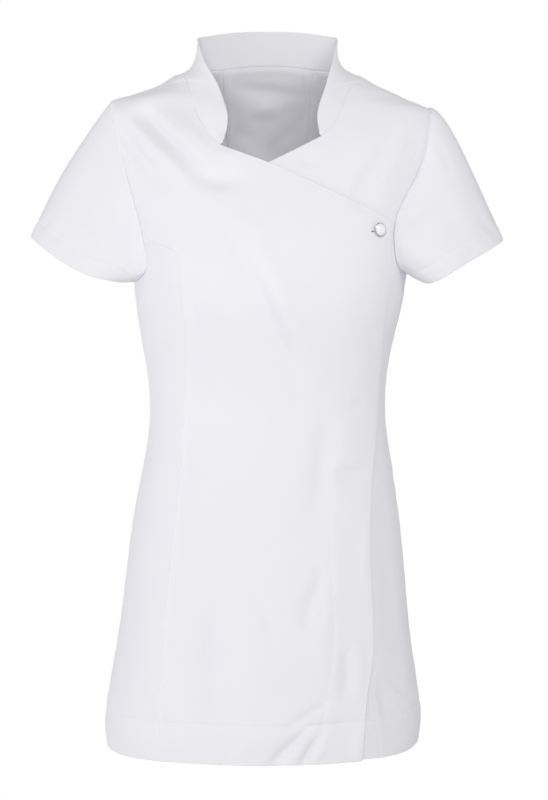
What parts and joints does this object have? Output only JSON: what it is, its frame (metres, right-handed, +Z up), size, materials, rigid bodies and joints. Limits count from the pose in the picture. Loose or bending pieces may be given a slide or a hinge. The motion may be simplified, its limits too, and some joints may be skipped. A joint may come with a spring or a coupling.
{
  "type": "beautician tunic",
  "caption": "Short-sleeved wrap-front salon tunic with a stand collar, filled out as if worn, with an open neck, hem and cuffs.",
  "frame": {"origin": "on the midline, at the height of the two points where the shoulder seams meet the collar, over the shoulder ridge", "axes": "+Z up along the standing wearer, -Y the way the front faces, +X the wearer's left"},
  "size_m": [0.5451, 0.2775, 0.8337],
  "materials": {
    "white_cloth": "plain-woven polyester, soft and matt with a faint sheen",
    "pearl_button": "glossy pearl"
  },
  "bodies": {
    "root": {"front_right": "white_cloth", "placket": "white_cloth", "side_front_right": "white_cloth", "front_left": "white_cloth", "side_front_left": "white_cloth", "back_centre": "white_cloth", "side_back_right": "white_cloth", "side_back_left": "white_cloth", "collar": "white_cloth", "sleeve_right": "white_cloth", "sleeve_left": "white_cloth", "button": "pearl_button"}
  },
  "joints": []
}
